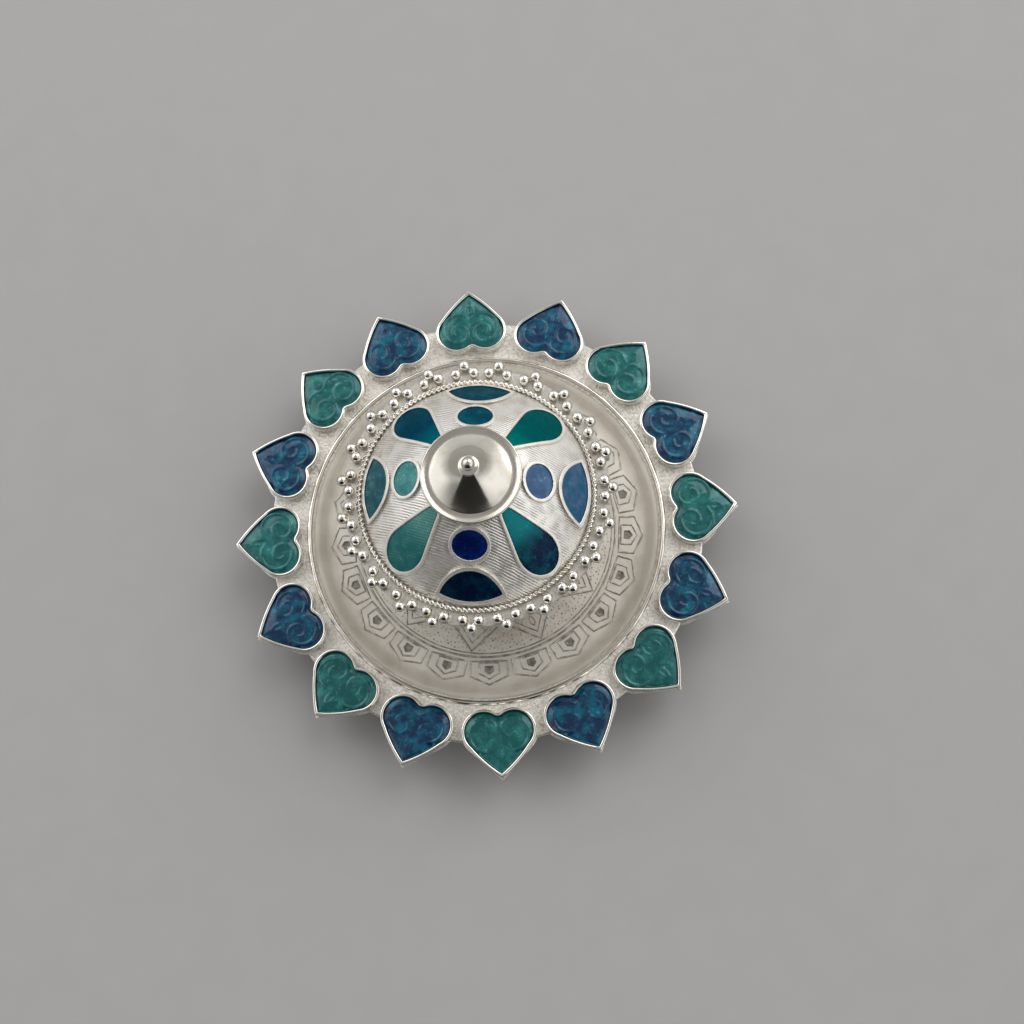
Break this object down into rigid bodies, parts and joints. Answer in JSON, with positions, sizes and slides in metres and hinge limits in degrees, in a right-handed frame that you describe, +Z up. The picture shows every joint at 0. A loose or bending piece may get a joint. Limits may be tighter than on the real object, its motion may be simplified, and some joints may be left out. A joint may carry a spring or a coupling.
{
  "type": "kumkum box",
  "caption": "Round silver kumkum box with a lift-off domed lid, on a footed tray bordered by enamelled hearts, for holding vermilion powder at worship.",
  "frame": {"origin": "middle of the foot ring, on the plane that the tray stands on", "axes": "+Z up along the common axis of tray, bowl and lid; one heart of the border points along -Y, towards the viewer"},
  "size_m": [0.077, 0.077, 0.0401],
  "materials": {
    "silver_frosted": "frosted white silver with fine chased texture",
    "silver_polished": "polished silver",
    "enamel_blue": "glossy translucent blue enamel",
    "enamel_green": "glossy translucent green enamel",
    "enamel_lid": "glossy translucent blue-green enamel",
    "fastener_steel": "plain machined"
  },
  "bodies": {
    "tray": {"bowl": "silver_polished", "bowl_foot": "silver_polished", "bowl_nut": "fastener_steel", "bowl_screw": "fastener_steel", "bowl_washer": "fastener_steel", "heart_cell_walls": "silver_polished", "heart_enamel_01": "enamel_green", "heart_enamel_02": "enamel_blue", "heart_enamel_03": "enamel_green", "heart_enamel_04": "enamel_blue", "heart_enamel_05": "enamel_green", "heart_enamel_06": "enamel_blue", "heart_enamel_07": "enamel_green", "heart_enamel_08": "enamel_blue", "heart_enamel_09": "enamel_green", "heart_enamel_10": "enamel_blue", "heart_enamel_11": "enamel_green", "heart_enamel_12": "enamel_blue", "heart_enamel_13": "enamel_green", "heart_enamel_14": "enamel_blue", "heart_enamel_15": "enamel_green", "heart_enamel_16": "enamel_blue", "tray_foot_ring": "silver_polished", "tray_plate": "silver_frosted", "well_rim_wire": "silver_polished"},
    "lid": {"fan_cell_walls": "silver_polished", "fan_enamel_1": "enamel_lid", "fan_enamel_2": "enamel_lid", "fan_enamel_3": "enamel_lid", "fan_enamel_4": "enamel_lid", "finial": "silver_polished", "finial_nut": "fastener_steel", "finial_washer": "fastener_steel", "inner_beads": "silver_polished", "lens_cell_walls": "silver_polished", "lens_enamel_1": "enamel_lid", "lens_enamel_2": "enamel_lid", "lens_enamel_3": "enamel_lid", "lens_enamel_4": "enamel_lid", "lid_collar": "silver_polished", "lid_dome": "silver_frosted", "outer_beads": "silver_polished", "round_cell_walls": "silver_polished", "round_enamel_1": "enamel_lid", "round_enamel_2": "enamel_lid", "round_enamel_3": "enamel_lid", "round_enamel_4": "enamel_lid", "twisted_wire": "silver_polished"}
  },
  "joints": [
    {"name": "lid_lift", "type": "slide", "parent": "tray", "child": "lid", "axis": [0, 0, 1], "range_m": [0, 0.03]}
  ]
}
